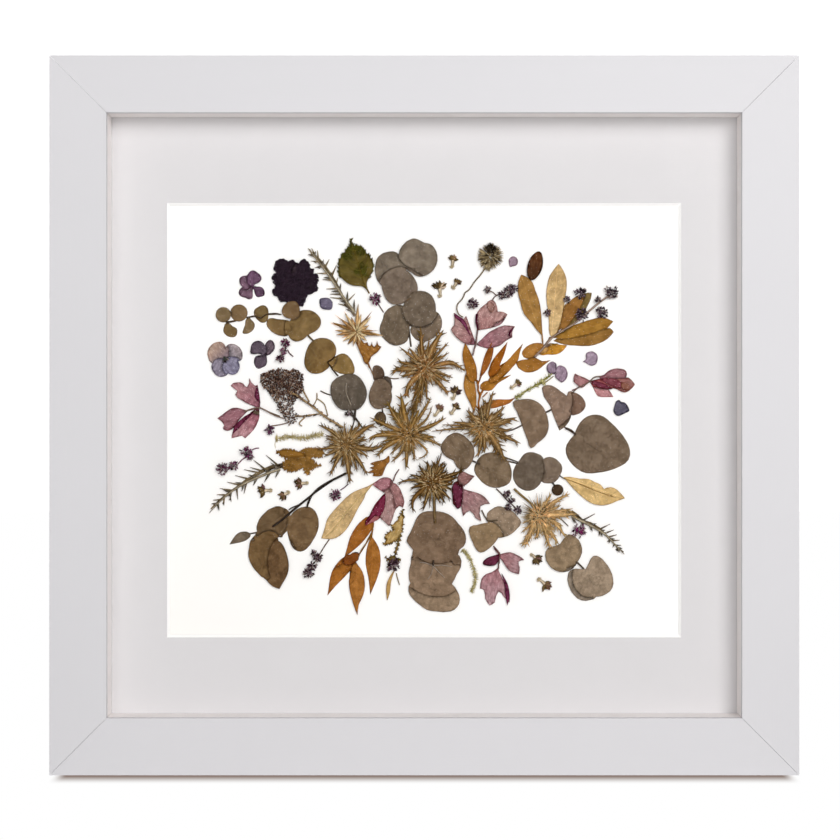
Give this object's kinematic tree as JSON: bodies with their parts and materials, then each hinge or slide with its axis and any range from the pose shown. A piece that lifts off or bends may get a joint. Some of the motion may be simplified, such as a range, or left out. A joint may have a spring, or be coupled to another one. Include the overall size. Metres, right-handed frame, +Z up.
{
  "type": "pressed flower frame",
  "caption": "Deep white box frame with glazing, a bevelled mat and an arrangement of pressed leaves, flowers and sea hollies on paper.",
  "frame": {"origin": "below the middle of the frame, in the middle of its depth, on the surface it stands on", "axes": "+Z up the frame, the glazed front faces -Y, +X to the right as seen from the front"},
  "size_m": [0.5, 0.04, 0.48],
  "materials": {
    "white_lacquer": "satin",
    "clear_glass": "gloss",
    "spacer_board": "matte",
    "mat_board": "matte",
    "mounting_paper": "matte",
    "backing_board": "matte",
    "tab_steel": "satin",
    "olive_leaf": "matte",
    "grey_leaf": "matte",
    "dark_green_leaf": "matte",
    "golden_leaf": "matte",
    "russet_leaf": "matte",
    "tan_leaf": "matte",
    "needle_leaf": "matte",
    "straw": "matte",
    "dark_petal": "matte",
    "mauve_petal": "matte",
    "holly_bract": "matte"
  },
  "bodies": {
    "root": {"rail_top": "white_lacquer", "rail_bottom": "white_lacquer", "rail_left": "white_lacquer", "rail_right": "white_lacquer", "glazing": "clear_glass", "spacer_top": "spacer_board", "spacer_bottom": "spacer_board", "spacer_left": "spacer_board", "spacer_right": "spacer_board", "mat_board": "mat_board", "mounting_paper": "mounting_paper", "backing_board": "backing_board", "retaining_tab_top": "tab_steel", "retaining_tab_bottom": "tab_steel", "retaining_tab_left": "tab_steel", "retaining_tab_right": "tab_steel", "baby_eucalyptus_sprig": "olive_leaf", "brown_eucalyptus_sprig": "olive_leaf", "eucalyptus_twig": "olive_leaf", "dark_round_leaf": "grey_leaf", "grey_eucalyptus_pair": "grey_leaf", "top_eucalyptus_sprig": "grey_leaf", "middle_eucalyptus_sprig": "grey_leaf", "large_eucalyptus_stack": "grey_leaf", "grey_eucalyptus_sprig": "grey_leaf", "folded_eucalyptus_sprig": "grey_leaf", "heart_leaf_pair": "grey_leaf", "corner_eucalyptus_sprig": "grey_leaf", "serrated_leaf": "dark_green_leaf", "golden_leaf_spray": "golden_leaf", "toothed_leaves": "golden_leaf", "olive_leaflet": "golden_leaf", "upper_ruscus_sprig": "russet_leaf", "lower_ruscus_sprig": "russet_leaf", "tan_leaf_left": "tan_leaf", "tan_leaf_right": "tan_leaf", "upper_needle_sprig": "needle_leaf", "left_needle_sprig": "needle_leaf", "right_needle_sprig": "needle_leaf", "straw_star": "straw", "seed_head": "straw", "tan_sea_holly": "straw", "almond_petal": "dark_petal", "dark_scalloped_flower": "dark_petal", "dark_hydrangea_floret": "dark_petal", "dark_statice_sprig": "dark_petal", "brown_flower_head": "dark_petal", "dusty_hydrangea_floret": "mauve_petal", "large_hydrangea_floret": "mauve_petal", "top_pink_flower": "mauve_petal", "right_pink_flower": "mauve_petal", "left_pink_flower": "mauve_petal", "lower_pink_flower": "mauve_petal", "centre_pink_flower": "mauve_petal", "base_pink_flower": "mauve_petal", "upper_sea_holly": "holly_bract", "middle_sea_holly": "holly_bract", "left_sea_holly": "holly_bract", "right_sea_holly": "holly_bract", "lower_sea_holly": "holly_bract"}
  },
  "joints": []
}
